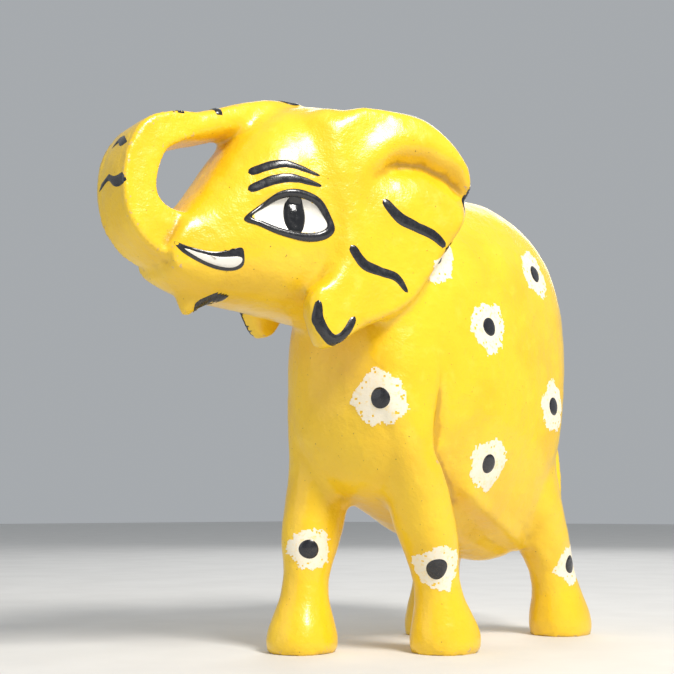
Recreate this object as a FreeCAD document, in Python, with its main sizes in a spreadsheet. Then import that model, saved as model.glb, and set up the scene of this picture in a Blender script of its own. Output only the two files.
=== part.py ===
import FreeCAD, Part
import math
import os

from FreeCAD import Placement, Rotation, Vector

# A carved wooden elephant, walking, head turned a little to its right and trunk curled up to the brow.
# Millimetres. +Z is up, the elephant faces -Y, and its left side is +X.
# The figure is one carved block. Every painted mark is a thin film of its own that lies on the wood.

os.makedirs("parts", exist_ok=True)
doc = FreeCAD.newDocument("carved_elephant")

SIZES = {
    # torso
    "chest_width": 50, "belly_width": 55, "rump_width": 52,
    "body_length": 103, "body_middle": 2.0, "back_height": 135.5, "belly_clearance": 24.5,
    # legs
    "stance_width": 29, "front_feet_y": -31.5, "rear_feet_y": 29, "stride": 26,
    "shoulder_y": -35.5, "hip_y": 20.5,
    "foot_width": 18.0, "front_foot_length": 19.5, "rear_foot_length": 20.5,
    "front_ankle": 13.6, "rear_ankle": 17, "leg_top": 80,
    # head, in a frame of its own that turns about the neck
    "neck_y": -34, "head_turn": 10,
    "head_width": 42, "head_length": 81, "head_top": 148, "chin_height": 88.5,
    "trunk_width": 15, "trunk_reach": 18, "trunk_rise": 41, "trunk_root_height": 104,
    "jaw_drop": 8, "jaw_length": 13,
    "ear_length": 50, "ear_height": 66, "ear_base": 78.3, "ear_thickness": 6.5,
    "right_lobe_lift": 8.5, "right_lobe_slant": 25, "right_lobe_back": 7,
    "ear_bevel": 1.6, "ear_flare": 10, "ear_hinge_half_width": 21, "ear_hinge_y": -35,
    "fold_radius": 25, "fold_tube": 1.8,
    "nostril_radius": 2.4, "nostril_depth": 2.5,
    # tail
    "tail_thickness": 5.2,
    # paint
    "film": 0.35, "dab_radius": 8.4, "leg_dab_radius": 6.6, "dot_radius": 2.6,
    "brush_width": 2.1, "eye_length": 23.2, "eye_height": 13.2, "eye_line": 1.9,
    "pupil_width": 6, "pupil_height": 9.6, "tusk_length": 17.5, "tusk_line": 1.3,
}
sheet = doc.addObject("Spreadsheet::Sheet", "Sizes")
for row, (alias, number) in enumerate(SIZES.items(), start=1):
    sheet.set("A%d" % row, alias)
    sheet.set("B%d" % row, str(number))
    sheet.setAlias("B%d" % row, alias)
doc.recompute()


def size(alias):
    """The number that stands in the spreadsheet under this name."""
    return float(sheet.get(alias))


RING_POINTS = 16
# 2 is an ellipse; more leaves the flat sides of a carved block, most of all along the trunk
SQUARENESS = {"torso": 2.4, "head": 2.7, "trunk": 4.0}
ROUND = 2.2
LEFT, RIGHT = 1, -1
SIDE_NAMES = {LEFT: "left", RIGHT: "right"}
UPRIGHT = 90.0            # a section that stands across the body
LEVEL = 0.0               # a section that lies flat, across a leg
INNER, OUTER = 1, 2       # the first coat of paint, and the coat on top of it
HEAD_PLACE = Placement(
    Vector(0, size("neck_y"), 0), Rotation(Vector(0, 0, 1), -size("head_turn")))
BODY_PLACE = Placement()
parts = []


def squarish(angle, squareness):
    """A point of the unit section, between an ellipse and a square."""
    power = 2.0 / squareness
    across, through = math.cos(angle), math.sin(angle)
    return (math.copysign(abs(across) ** power, across),
            math.copysign(abs(through) ** power, through))


def ring(label, centre, half_across, half_through, lean, squareness):
    """One closed section of a carved form: across lies along X, through leans in the YZ plane."""
    points = []
    for step in range(RING_POINTS):
        across, through = squarish(2 * math.pi * step / RING_POINTS, squareness)
        points.append(Vector(across * half_across, through * half_through, 0))
    curve = Part.BSplineCurve()
    curve.interpolate(Points=points, PeriodicFlag=True)
    section = doc.addObject("Part::Feature", label)
    section.Shape = Part.Wire(curve.toShape())
    section.Placement = Placement(centre, Rotation(Vector(1, 0, 0), lean))
    return section


def carve(label, rings, coat=0):
    """A solid skinned over its rings, grown by as many coats of paint as asked."""
    growth = coat * size("film")
    squareness = SQUARENESS.get(label.split("_")[0], ROUND)
    sections = []
    for number, (centre, half_across, half_through, lean) in enumerate(rings):
        sections.append(ring("%s_ring%d_%d" % (label, coat, number), centre,
                             half_across + growth, half_through + growth, lean, squareness))
    form = doc.addObject("Part::Loft", "%s_form%d" % (label, coat))
    form.Sections = sections
    form.Solid = True
    return form


def upright(y, half_width, top, bottom):
    """A ring that stands across the body, given by its top and its bottom."""
    return (Vector(0, y, (top + bottom) / 2), half_width, (top - bottom) / 2, UPRIGHT)


# ---------------------------------------------------------------- torso, tail and legs

def torso_rings():
    half_body = size("body_length") / 2
    back = size("back_height")
    under = size("belly_clearance")
    chest, belly, rump = (size(name) / 2 for name in ("chest_width", "belly_width", "rump_width"))
    middle = size("body_middle")
    # share of the half length, half width, share of the height at the top and at the bottom
    stations = [(-1.00, chest * 0.30, 0.58, 0.34), (-0.97, chest * 0.60, 0.66, 0.26),
                (-0.90, chest * 0.82, 0.73, 0.19), (-0.70, chest * 0.98, 0.86, 0.14),
                (-0.30, belly * 0.99, 0.94, 0.06), (0.16, belly, 0.99, 0.00),
                (0.44, rump, 0.97, 0.00), (0.70, rump * 0.82, 0.89, 0.26),
                (0.89, rump * 0.52, 0.77, 0.40), (0.97, rump * 0.28, 0.69, 0.48),
                (1.00, rump * 0.12, 0.64, 0.53)]
    span = back - under
    return [upright(middle + along * half_body, half_width, under + high * span, under + low * span)
            for along, half_width, high, low in stations]


def tail_rings():
    half = size("tail_thickness") / 2
    rear = size("body_middle") + size("body_length") / 2
    top = size("back_height") * 0.64
    foot = size("back_height") * 0.22
    # share of the way down, forward from the rump's end, sideways to the left
    route = [(0.0, 3.0, 0.0), (0.25, -0.6, 2.5), (0.55, -0.2, 6.0), (0.78, 4.5, 9.5), (1.0, 12.0, 12.0)]
    return [(Vector(sideways, rear - forward, top + (foot - top) * share), half, half, LEVEL)
            for share, forward, sideways in route]


def leg_rings(side, is_front):
    """From the flat sole up to the inside of the torso. The right feet lead and the left feet trail."""
    feet_y = size("front_feet_y") if is_front else size("rear_feet_y")
    foot_y = feet_y + side * size("stride") / 2
    top_y = size("shoulder_y") if is_front else size("hip_y")
    half_stance = side * size("stance_width") / 2
    foot = size("foot_width") / 2
    length = size("front_foot_length" if is_front else "rear_foot_length") / 2
    ankle = size("front_ankle" if is_front else "rear_ankle") / 2
    slim = size("front_ankle") / 2
    top = size("leg_top")
    bulk = 1.0 if is_front else 1.5
    shin, thigh = (0.32, 0.74) if is_front else (0.38, 0.80)
    # share of the height, share of the way from foot to hip, half across, half through
    stations = [(0.0, 0.0, foot * 0.96, length * 0.96), (0.06, 0.0, foot, length),
                (0.19, 0.12, slim * 0.95, ankle), (0.34, shin, slim * 1.06, ankle * 1.15),
                (0.56, thigh, slim * 1.30, ankle + 2 * bulk), (0.78, 1.0, slim * 1.32, ankle + 4.5 * bulk),
                (1.0, 1.0, slim * 0.95, ankle + 2 * bulk)]
    return [(Vector(half_stance, foot_y + share * (top_y - foot_y), high * top), across, through, LEVEL)
            for high, share, across, through in stations]


# ---------------------------------------------------------------- head, in the head's own frame

def head_rings():
    half = size("head_width") / 2
    front = -size("head_length") * 0.83
    back = size("head_length") * 0.17
    top, chin = size("head_top"), size("chin_height")
    span = top - chin
    # share from back to front, half width, share of the height at the top and at the bottom
    stations = [(0.00, half * 0.76, 0.82, 0.02), (0.17, half * 0.90, 0.95, -0.02),
                (0.35, half, 1.00, -0.02), (0.52, half * 0.98, 0.975, 0.00), (0.67, half * 0.87, 0.88, 0.02),
                (0.79, half * 0.70, 0.69, 0.03), (0.90, half * 0.54, 0.47, 0.05), (1.00, half * 0.40, 0.25, 0.11)]
    return [upright(back + along * (front - back), half_width, chin + high * span, chin + low * span)
            for along, half_width, high, low in stations]


def trunk_rings():
    """The trunk leaves the muzzle forwards, curls up and back, and its tip rests on the brow."""
    half = size("trunk_width") / 2
    root_y = -size("head_length") * 0.72
    reach, rise = size("trunk_reach"), size("trunk_rise")
    root = size("trunk_root_height")
    # share forward, share up, half across and half through as shares of half the trunk's width
    route = [(0.00, -0.02, 1.05, 1.02), (0.40, 0.01, 1.03, 0.93), (0.74, 0.07, 1.02, 0.80),
             (0.95, 0.20, 1.00, 0.65), (0.98, 0.33, 1.00, 0.63), (0.91, 0.48, 1.00, 0.64),
             (0.72, 0.62, 1.00, 0.60), (0.36, 0.70, 1.00, 0.52), (-0.17, 0.78, 0.97, 0.48),
             (-0.67, 0.87, 0.94, 0.50), (-1.05, 0.93, 0.90, 0.54), (-1.45, 0.97, 0.87, 0.50),
             (-1.78, 1.01, 0.80, 0.42)]
    centres = [Vector(0, root_y - forward * reach, root + up * rise) for forward, up, _, _ in route]
    rings = []
    for number, (_, _, across, through) in enumerate(route):
        before = centres[max(number - 1, 0)]
        after = centres[min(number + 1, len(centres) - 1)]
        heading = after - before
        lean = math.degrees(math.atan2(heading.z, heading.y)) - UPRIGHT
        rings.append((centres[number], across * half, through * half, lean))
    return rings


def jaw_rings():
    half = size("jaw_length") / 2
    chin = size("chin_height") + 2
    drop = size("jaw_drop")
    y = -size("head_length") * 0.68
    return [(Vector(0, y, chin + drop), half * 0.85, half * 1.1, LEVEL),
            (Vector(0, y, chin + drop * 0.3), half * 0.80, half, LEVEL),
            (Vector(0, y - half * 0.25, chin - drop * 0.1), half * 0.52, half * 0.62, LEVEL),
            (Vector(0, y - half * 0.55, chin - drop * 0.55), half * 0.17, half * 0.17, LEVEL)]


# An ear's outline in shares of its length, back from the hinge, and of its height, up from the lobe.
EAR_OUTLINE = [(0.01, 0.15), (0.13, 0.00), (0.29, 0.08), (0.55, 0.17), (0.71, 0.30), (0.87, 0.48),
               (0.99, 0.67), (0.97, 0.80), (0.88, 0.90), (0.71, 0.98), (0.50, 1.00), (0.22, 0.965),
               (0.10, 0.84), (0.15, 0.62), (0.17, 0.38), (0.07, 0.24)]
EAR_MIDDLE = (0.52, 0.58)
FOLD_CENTRE = (0.66, 0.41)    # the groove under the rolled rim is an arc about this place
FOLD_KEPT = (0.70, 0.79)      # and only its top, around this place, is cut
RIM_LINE_CORNER = (0.45, 0.64)
LOBE_TOP = 0.45           # below this share of the height, the right ear's lobe is drawn up
LOBE_TIP = 0.13           # behind this share of the length it is drawn up further


def ear_point(along, high, outward, side):
    """A place on an ear's flat outer face, or outward of it, in the head's frame."""
    flare = math.radians(size("ear_flare"))
    draw = max(0.0, 1 - high / LOBE_TOP) if side == RIGHT else 0.0
    back = along * size("ear_length") + size("right_lobe_back") * draw
    x = size("ear_hinge_half_width") + back * math.sin(flare) + outward * math.cos(flare)
    y = size("ear_hinge_y") + back * math.cos(flare) - outward * math.sin(flare)
    lift = size("right_lobe_lift") + size("right_lobe_slant") * max(0.0, along - LOBE_TIP)
    height = size("ear_base") + high * size("ear_height") + lift * draw
    return Vector(side * x, y, height)


def ear_normal(side):
    flare = math.radians(size("ear_flare"))
    return Vector(side * math.cos(flare), -math.sin(flare), 0)


def ear_wire(label, side, outward, inset):
    """The ear's outline at one depth, drawn in towards its middle by the inset."""
    shrink_along = 1 - inset / (size("ear_length") / 2)
    shrink_high = 1 - inset / (size("ear_height") / 2)
    points = []
    for along, high in EAR_OUTLINE:
        points.append(ear_point(EAR_MIDDLE[0] + (along - EAR_MIDDLE[0]) * shrink_along,
                                EAR_MIDDLE[1] + (high - EAR_MIDDLE[1]) * shrink_high, outward, side))
    curve = Part.BSplineCurve()
    curve.interpolate(Points=points, PeriodicFlag=True)
    outline = doc.addObject("Part::Feature", label)
    outline.Shape = Part.Wire(curve.toShape())
    return outline


def ear(side, coat=0):
    """A flat flap with a bevelled rim: full size behind, drawn in by the bevel at the outer face."""
    name = "ear_%s_%d" % (SIDE_NAMES[side], coat)
    growth = coat * size("film")
    levels = [(-size("ear_thickness"), -growth), (-size("ear_bevel"), -growth),
              (0.0, size("ear_bevel") - growth)]
    form = doc.addObject("Part::Loft", name)
    form.Sections = [ear_wire("%s_wire%d" % (name, number), side, outward, inset)
                     for number, (outward, inset) in enumerate(levels)]
    form.Solid = True
    form.Ruled = True
    return form


def ear_fold(side):
    """The groove under the rolled upper rim of an ear."""
    groove = doc.addObject("Part::Torus", "ear_fold_%s" % SIDE_NAMES[side])
    groove.setExpression("Radius1", "Sizes.fold_radius")
    groove.setExpression("Radius2", "Sizes.fold_tube")
    groove.Placement = Placement(ear_point(*FOLD_CENTRE, 0.0, side),
                                 Rotation(Vector(0, 0, 1), ear_normal(side)))
    keep = doc.addObject("Part::Sphere", "ear_fold_keep_%s" % SIDE_NAMES[side])
    keep.setExpression("Radius", "Sizes.fold_radius * 0.52")
    keep.Placement.Base = ear_point(*FOLD_KEPT, 0.0, side)
    return common("ear_fold_cut_%s" % SIDE_NAMES[side], [groove, keep])


# ---------------------------------------------------------------- booleans

def common(label, shapes):
    result = doc.addObject("Part::MultiCommon", label)
    result.Shapes = shapes
    return result


def cut(label, base, tool):
    result = doc.addObject("Part::Cut", label)
    result.Base = base
    result.Tool = tool
    return result


def fuse(label, shapes):
    """Joins forms one after another, which holds up better on carved forms than all at once."""
    joined = shapes[0]
    for number, added in enumerate(shapes[1:], start=1):
        step = doc.addObject("Part::Fuse", "%s_%d" % (label, number))
        step.Base = joined
        step.Tool = added
        joined = step
    return joined


def skin(label, rings, coat):
    """The coat of paint number `coat` over a carved form, with nothing inside it."""
    return cut("%s_skin%d" % (label, coat), carve(label + "_o%d" % coat, rings, coat),
               carve(label + "_i%d" % coat, rings, coat - 1))


def finish(result, name, place):
    """Names a finished sub-part and puts it in its frame."""
    result.Label = name
    result.Placement = place
    parts.append(result)
    return result


# ---------------------------------------------------------------- the carved block

def carved_figure():
    head = fuse("head_group", [carve("head", head_rings()), carve("trunk", trunk_rings()),
                               carve("jaw", jaw_rings()), ear(LEFT), ear(RIGHT)])
    head.Placement = HEAD_PLACE
    legs = [carve("leg_%s_%s" % ("front" if is_front else "rear", SIDE_NAMES[side]),
                  leg_rings(side, is_front)) for is_front in (True, False) for side in (LEFT, RIGHT)]
    block = fuse("block", [carve("torso", torso_rings())] + legs + [carve("tail", tail_rings()), head])
    nostril = doc.addObject("Part::Cylinder", "nostril")
    nostril.setExpression("Radius", "Sizes.nostril_radius")
    nostril.setExpression("Height", "Sizes.nostril_depth * 2")
    nostril.Placement = HEAD_PLACE.multiply(Placement(
        nostril_centre() - NOSTRIL_AIM * size("nostril_depth"), Rotation(Vector(0, 0, 1), NOSTRIL_AIM)))
    folds = [ear_fold(LEFT), ear_fold(RIGHT)]
    for fold in folds:
        fold.Placement = HEAD_PLACE
    for hollow in folds + [nostril]:
        block = cut("less_" + hollow.Name, block, hollow)
    finish(block, "carved_figure", BODY_PLACE)


NOSTRIL_AIM = Vector(0, 0.45, 0.9)


def nostril_centre():
    """On top of the trunk's tip."""
    centre, _, half_through, _ = trunk_rings()[-2]
    return centre + Vector(0, 2.0, half_through)


# ---------------------------------------------------------------- dabs and dots

def beam(label, radius, start, aim, length):
    """A long cylinder that cuts a round patch out of a coat of paint."""
    rod = doc.addObject("Part::Cylinder", label)
    rod.setExpression("Radius", radius)
    rod.Height = length
    rod.Placement = Placement(start, Rotation(Vector(0, 0, 1), aim))
    return rod


def aim_at(side, swing, rise):
    """A direction out of the body: sideways, swung towards the tail and raised, in degrees."""
    swing, rise = math.radians(swing), math.radians(rise)
    return Vector(side * math.cos(swing) * math.cos(rise), math.sin(swing) * math.cos(rise), math.sin(rise))


# place on the body's middle plane as shares of half its length and of its height, swing and rise
TORSO_SPOTS = {
    "shoulder": (-0.58, 0.495, -50, 0), "flank_upper": (-0.275, 0.615, 0, 12),
    "flank_lower": (-0.225, 0.40, 0, -8), "rump_upper": (0.13, 0.74, 20, 20),
    "rump_side": (0.15, 0.51, 25, 0), "back": (-0.63, 0.735, 0, 20),
}
RIGHT_SHOULDER_SWING = -15   # the right shoulder's dab sits further round to the side
LEG_SPOTS = {("front", RIGHT): (0.345, -48), ("front", LEFT): (0.28, -48),
             ("rear", LEFT): (0.27, 18), ("rear", RIGHT): (0.27, 18)}


def spot(name, coats, radius, start, aim, length, place):
    """A sponge dab on the wood and a round dot on top of the dab."""
    dab = common("dab_" + name, [coats[INNER], beam("dab_beam_" + name, radius, start, aim, length)])
    finish(dab, "dab_" + name, place)
    dot = common("dot_" + name, [coats[OUTER], beam("dot_beam_" + name, "Sizes.dot_radius", start, aim, length)])
    finish(dot, "dot_" + name, place)


def torso_spots():
    coats = {coat: skin("torso", torso_rings(), coat) for coat in (INNER, OUTER)}
    middle = size("body_middle")
    for name, (along, high, swing, rise) in TORSO_SPOTS.items():
        start = Vector(0, middle + along * size("body_length") / 2, high * size("back_height"))
        for side in (LEFT, RIGHT):
            if name == "shoulder" and side == RIGHT:
                swing = RIGHT_SHOULDER_SWING
            spot("%s_%s" % (name, SIDE_NAMES[side]), coats, "Sizes.dab_radius", start,
                 aim_at(side, swing, rise), size("body_length"), BODY_PLACE)


def leg_spots():
    for (end, side), (high, swing) in LEG_SPOTS.items():
        rings = leg_rings(side, end == "front")
        name = "leg_%s_%s" % (end, SIDE_NAMES[side])
        coats = {coat: skin(name, rings, coat) for coat in (INNER, OUTER)}
        low_ring, high_ring = rings[2][0], rings[3][0]
        share = (high * size("leg_top") - low_ring.z) / (high_ring.z - low_ring.z)
        start = low_ring + (high_ring - low_ring) * share
        facing = LEFT if end == "front" else side
        spot(name, coats, "Sizes.leg_dab_radius", start, aim_at(facing, swing, 0), 4 * size("foot_width"),
             BODY_PLACE)


# ---------------------------------------------------------------- brush marks

def stroke_face(label, spine, half_width, to_space, taper=0.35):
    """A brush stroke: a smooth band along its spine, thick at the start and thin at the end."""
    line = Part.BSplineCurve()
    line.interpolate([Vector(along, high, 0) for along, high in spine])
    first, last = line.FirstParameter, line.LastParameter
    steps = 8
    one_edge, other_edge = [], []
    for step in range(steps + 1):
        share = step / steps
        here = line.value(first + (last - first) * share)
        ahead = line.tangent(first + (last - first) * share)[0]
        normal = Vector(-ahead.y, ahead.x, 0)
        half = half_width * (1 - (1 - taper) * share ** 1.5)
        one_edge.append(to_space(here + normal * half))
        other_edge.append(to_space(here - normal * half))
    sides = []
    for points in (one_edge, list(reversed(other_edge))):
        curve = Part.BSplineCurve()
        curve.interpolate(points)
        sides.append(curve.toShape())
    caps = [Part.LineSegment(one_edge[-1], other_edge[-1]).toShape(),
            Part.LineSegment(other_edge[0], one_edge[0]).toShape()]
    flat = doc.addObject("Part::Feature", label)
    flat.Shape = Part.Face(Part.Wire([sides[0], caps[0], sides[1], caps[1]]))
    return flat


def extrude(label, base, direction, length):
    """A straight prism on a flat face; length is an expression."""
    prism = doc.addObject("Part::Extrusion", label)
    prism.Base = base
    prism.DirMode = "Custom"
    prism.Dir = direction
    prism.setExpression("LengthFwd", length)
    prism.Solid = True
    return prism


# spines in shares of the ear's length and height
EAR_STROKES = {"ear_stroke_upper": [(0.43, 0.617), (0.52, 0.544), (0.67, 0.50), (0.81, 0.447)],
               "ear_stroke_lower": [(0.24, 0.412), (0.33, 0.344), (0.45, 0.318), (0.57, 0.24)],
               "ear_lobe_stroke": [(0.09, 0.20), (0.10, 0.10), (0.16, 0.062), (0.27, 0.12)]}


def ear_marks(side):
    for name, spine in EAR_STROKES.items():
        label = "%s_%s" % (name, SIDE_NAMES[side])
        length, height = size("ear_length"), size("ear_height")
        face = stroke_face(label + "_face", [(along * length, high * height) for along, high in spine],
                           size("brush_width") / 2,
                           lambda point: ear_point(point.x / length, point.y / height, 0.0, side))
        finish(extrude(label + "_pad", face, ear_normal(side), "Sizes.film"), label, HEAD_PLACE)


def ear_rim_line(side):
    """The black line on the edge of the ear, from its top round to its rear."""
    name = "ear_rim_line_%s" % SIDE_NAMES[side]
    band = cut(name + "_band", ear(side, 1), ear(side, 0))
    slab = doc.addObject("Part::Box", name + "_slab")
    slab.setExpression("Length", "Sizes.ear_length * 0.62")
    slab.setExpression("Width", "Sizes.ear_thickness * 0.5")
    slab.setExpression("Height", "Sizes.ear_height * 0.5")
    flare = size("ear_flare")
    depth = 0.0 if side == LEFT else size("ear_thickness") * 0.5
    corner = ear_point(*RIM_LINE_CORNER, -size("ear_bevel") - depth, side)
    slab.Placement = Placement(corner, Rotation(Vector(0, 0, 1), 90 - side * flare))
    finish(common(name + "_film", [band, slab]), name, HEAD_PLACE)


def cheek_point(point):
    """From the plane of the cheek's drawing to the head's middle plane."""
    return Vector(0, point.x, point.y)


def eye_middle():
    return Vector(0, -size("head_length") * 0.483, size("chin_height") + 23.3)


def almond(label, half_length, half_height):
    """An eye's outline: a low corner in front, a high lid and a fuller corner behind."""
    middle = eye_middle()
    points = [(-1.0, -0.42), (-0.45, 0.48), (0.15, 1.0), (0.72, 0.72), (1.0, -0.02), (0.72, -0.62),
              (0.1, -1.0), (-0.55, -0.80)]
    curve = Part.BSplineCurve()
    curve.interpolate(Points=[middle + Vector(0, along * half_length, high * half_height)
                              for along, high in points], PeriodicFlag=True)
    flat = doc.addObject("Part::Feature", label)
    flat.Shape = Part.Face(Part.Wire(curve.toShape()))
    return flat


def eye(side, coats):
    name = SIDE_NAMES[side]
    outward = Vector(side, 0, 0)
    half_length, half_height, line = size("eye_length") / 2, size("eye_height") / 2, size("eye_line")
    whole = extrude("eye_whole_" + name, almond("eye_rim_" + name, half_length, half_height), outward,
                    "Sizes.head_width")
    inner = extrude("eye_inner_" + name, almond("eye_white_edge_" + name, half_length - line,
                                                half_height - line), outward, "Sizes.head_width")
    pupil = doc.addObject("Part::Feature", "pupil_edge_" + name)
    pupil_oval = Part.Ellipse(eye_middle() + Vector(0, 0, size("pupil_height") / 2),
                              eye_middle() + Vector(0, size("pupil_width") / 2, 0), eye_middle())
    pupil.Shape = Part.Face(Part.Wire(pupil_oval.toShape()))
    pupil_prism = extrude("pupil_prism_" + name, pupil, outward, "Sizes.head_width")
    ring_prism = cut("eye_ring_" + name, whole, inner)
    finish(common("eye_outline_film_" + name, [coats[INNER], ring_prism]), "eye_outline_" + name, HEAD_PLACE)
    finish(common("eye_white_film_" + name, [coats[INNER], inner]), "eye_white_" + name, HEAD_PLACE)
    clear = common("pupil_within_" + name, [pupil_prism, inner])
    finish(common("pupil_film_" + name, [coats[OUTER], clear]), "pupil_" + name, HEAD_PLACE)


# spines from the eye's middle, in shares of half its length
BROW_STROKES = [[(-0.90, 0.84), (-0.30, 1.07), (0.05, 1.11), (0.62, 0.90)],
                [(-0.92, 0.46), (-0.33, 0.76), (0.12, 0.86), (0.68, 0.72)]]


def brows(side, coats):
    name = "brows_%s" % SIDE_NAMES[side]
    middle = eye_middle()
    half = size("eye_length") / 2
    prisms = []
    for number, spine in enumerate(BROW_STROKES):
        face = stroke_face("%s_face%d" % (name, number),
                           [(middle.y + along * half, middle.z + high * half) for along, high in spine],
                           size("brush_width") * 0.42, cheek_point)
        prisms.append(extrude("%s_prism%d" % (name, number), face, Vector(side, 0, 0), "Sizes.head_width"))
    finish(common(name + "_film", [coats[INNER], fuse(name + "_both", prisms)]), name, HEAD_PLACE)


def tusk_outline(label, inset):
    """A tusk's patch: a point in front, rising to a blunt root behind."""
    length = size("tusk_length") - 2 * inset
    tip = Vector(0, -size("head_length") * 0.84 + inset, size("chin_height") + 11.2)
    points = [(0.0, 0.0), (0.42, 0.02), (0.90, 0.15), (1.0, 0.05), (0.95, -0.12),
              (0.62, -0.185), (0.26, -0.13)]
    thin = 1 - inset / (size("tusk_length") * 0.16)
    places = [tip + Vector(0, along * length, (high * thin) * size("tusk_length")) for along, high in points]
    edges = []
    for start, middle, end in ((0, 1, 2), (2, 3, 4), (4, 5, 6)):
        edges.append(Part.Arc(places[start], places[middle], places[end]).toShape())
    edges.append(Part.LineSegment(places[6], places[0]).toShape())
    flat = doc.addObject("Part::Feature", label)
    flat.Shape = Part.Face(Part.Wire(edges))
    return flat


def tusk(side, coats):
    name = SIDE_NAMES[side]
    outward = Vector(side, 0, 0)
    whole = extrude("tusk_whole_" + name, tusk_outline("tusk_rim_" + name, 0.0), outward, "Sizes.head_width")
    inner = extrude("tusk_inner_" + name, tusk_outline("tusk_edge_" + name, size("tusk_line")), outward,
                    "Sizes.head_width")
    finish(common("tusk_white_film_" + name, [coats[INNER], inner]), "tusk_white_" + name, HEAD_PLACE)
    finish(common("tusk_outline_film_" + name, [coats[INNER], cut("tusk_ring_" + name, whole, inner)]),
           "tusk_outline_" + name, HEAD_PLACE)


# each band's ring of the trunk, its start across as a share of half the width, and its length in widths
TRUNK_BANDS = [(4, -1.4, 1.4), (5, -1.4, 1.4), (7, 0.1, 0.6), (8, 0.1, 0.6)]
BAND_EDGE = 0.35          # how far from the middle towards the outer face a band begins


def trunk_marks():
    """Four bands over the outer face of the trunk and a ring around the nostril."""
    coat = skin("trunk", trunk_rings(), INNER)
    rings = trunk_rings()
    slabs = []
    for number, (index, start, reach) in enumerate(TRUNK_BANDS):
        centre, half_across, half_through, lean = rings[index]
        slab = doc.addObject("Part::Box", "band_slab_%d" % number)
        slab.setExpression("Length", "Sizes.trunk_width * %s" % reach)
        slab.setExpression("Width", "Sizes.trunk_width")
        slab.setExpression("Height", "Sizes.brush_width")
        turned = Rotation(Vector(1, 0, 0), lean)
        corner = Vector(start * half_across, -half_through * BAND_EDGE - size("trunk_width"),
                        -size("brush_width") / 2)
        slab.Placement = Placement(centre + turned.multVec(corner), turned)
        slabs.append(slab)
    finish(common("trunk_band_film", [coat, fuse("band_slabs", slabs)]), "trunk_bands", HEAD_PLACE)
    start = nostril_centre() - NOSTRIL_AIM * 4
    reach = 8
    outer = beam("nostril_outer", "Sizes.nostril_radius + Sizes.brush_width * 0.6", start, NOSTRIL_AIM, reach)
    hollow = beam("nostril_inner", "Sizes.nostril_radius", start, NOSTRIL_AIM, reach)
    finish(common("nostril_film", [coat, cut("nostril_tube", outer, hollow)]), "nostril_ring", HEAD_PLACE)


def jaw_mark():
    """A black stroke under the pointed lower lip."""
    coat = skin("jaw", jaw_rings(), INNER)
    tip = jaw_rings()[-1][0]
    slab = doc.addObject("Part::Box", "jaw_slab")
    slab.setExpression("Length", "Sizes.jaw_length")
    slab.setExpression("Width", "Sizes.jaw_length * 0.8")
    slab.setExpression("Height", "Sizes.jaw_drop * 0.75")
    slab.Placement.Base = tip + Vector(-size("jaw_length") / 2, 0.4, -1.0)
    finish(common("jaw_film", [coat, slab]), "jaw_stroke", HEAD_PLACE)


def set_on_ground():
    """Moves every sub-part so that the middle of the figure's base is the origin."""
    box = FreeCAD.BoundBox()
    for part in parts:
        box.add(part.Shape.optimalBoundingBox(True, False))
    shift = Placement(Vector(-box.Center.x, -box.Center.y, -box.ZMin), Rotation())
    for part in parts:
        part.Placement = shift.multiply(part.Placement)
    return box


carved_figure()
torso_spots()
leg_spots()
for chosen in (LEFT, RIGHT):
    ear_marks(chosen)
    ear_rim_line(chosen)
head_coats = {coat: skin("head", head_rings(), coat) for coat in (INNER, OUTER)}
for chosen in (LEFT, RIGHT):
    eye(chosen, head_coats)
    brows(chosen, head_coats)
    tusk(chosen, head_coats)
trunk_marks()
jaw_mark()
doc.recompute()
faults = [item.Name for item in doc.Objects if "Invalid" in item.State or "Error" in item.State]
for part in parts:
    if part.Shape.isNull() or not part.Shape.isValid() or not part.Shape.Solids:
        faults.append(part.Label)
if faults:
    raise SystemExit("failed: " + ", ".join(faults))
overall = set_on_ground()
for part in parts:
    part.Shape.exportStep("parts/%s.step" % part.Label)
    print("%-28s %2d solid %10.2f mm3" % (part.Label, len(part.Shape.Solids), part.Shape.Volume))
print("moved by %.3f, %.3f, %.3f mm" % (-overall.Center.x, -overall.Center.y, -overall.ZMin))
extent = (overall.XLength, overall.YLength, overall.ZLength)
print("overall %.1f x %.1f x %.1f mm, %d sub-parts" % (*extent, len(parts)))
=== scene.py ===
# %% [markdown]
# # A painted wooden elephant
# The real figure is carved from one block of soft wood, rubbed down, brushed all over with yellow gloss
# paint, and then decorated: cream dabs pressed on with a sponge, black dots set in them with the end of
# a stick, and black and white lines drawn with a small round brush.
# The frame brings the carved block and one thin film for every painted mark. Here the block is worked
# over as a carver would do it, and each mark is laid on it again with the look of real paint.

# %% Load the frame
import math
import bpy
import numpy as np
from mathutils import Matrix, Vector, noise
from mathutils.bvhtree import BVHTree


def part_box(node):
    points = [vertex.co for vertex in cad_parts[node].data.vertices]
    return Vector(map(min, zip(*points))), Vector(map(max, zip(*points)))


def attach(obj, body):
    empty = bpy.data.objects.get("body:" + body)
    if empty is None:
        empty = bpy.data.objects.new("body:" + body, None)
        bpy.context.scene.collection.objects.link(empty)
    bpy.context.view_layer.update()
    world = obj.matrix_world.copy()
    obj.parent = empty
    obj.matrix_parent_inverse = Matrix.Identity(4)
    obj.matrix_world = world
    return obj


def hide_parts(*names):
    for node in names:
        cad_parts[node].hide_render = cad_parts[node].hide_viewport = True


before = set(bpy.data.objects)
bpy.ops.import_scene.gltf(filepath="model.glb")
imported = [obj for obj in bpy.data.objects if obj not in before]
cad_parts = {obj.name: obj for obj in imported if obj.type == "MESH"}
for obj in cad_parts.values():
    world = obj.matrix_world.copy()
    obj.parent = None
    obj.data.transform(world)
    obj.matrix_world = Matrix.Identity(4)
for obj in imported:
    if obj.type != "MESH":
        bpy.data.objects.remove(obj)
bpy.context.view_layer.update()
MM = 0.001
LEFT, RIGHT = 1, -1
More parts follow.
